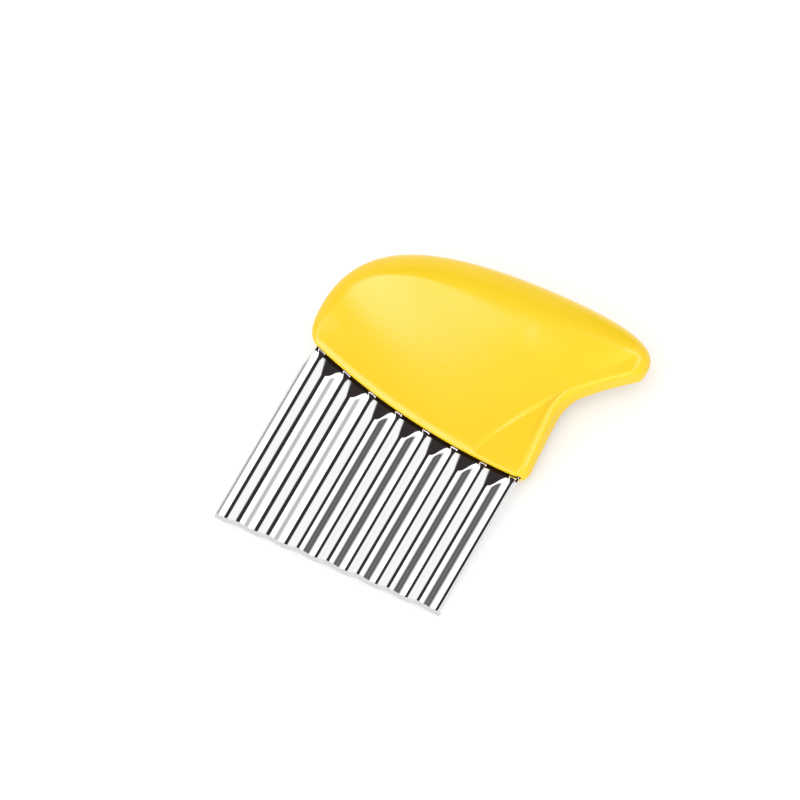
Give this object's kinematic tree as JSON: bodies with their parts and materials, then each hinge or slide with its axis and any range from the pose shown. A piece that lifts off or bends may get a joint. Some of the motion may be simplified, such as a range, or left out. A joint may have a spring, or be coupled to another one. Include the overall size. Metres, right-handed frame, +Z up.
{
  "type": "crinkle cutter",
  "caption": "Hand-held crinkle cutter: a corrugated steel blade with ramped groove ends, set in a thick rounded plastic handle with a hooked tail, for cutting vegetables in waves.",
  "frame": {"origin": "centre of the bounding box in plan, on the table that the cutter lies on", "axes": "+X along the cutting edge from the nose towards the hooked tail, +Y from the cutting edge towards the crown of the handle, +Z up, out of the front face of the cutter as it lies on its back"},
  "size_m": [0.0902, 0.0916, 0.014],
  "materials": {
    "handle": "glossy moulded yellow plastic",
    "blade": "mirror-polished stainless steel with a ground edge"
  },
  "bodies": {
    "root": {"blade": "blade", "handle_front_shell": "handle", "handle_rear_shell": "handle"}
  },
  "joints": []
}
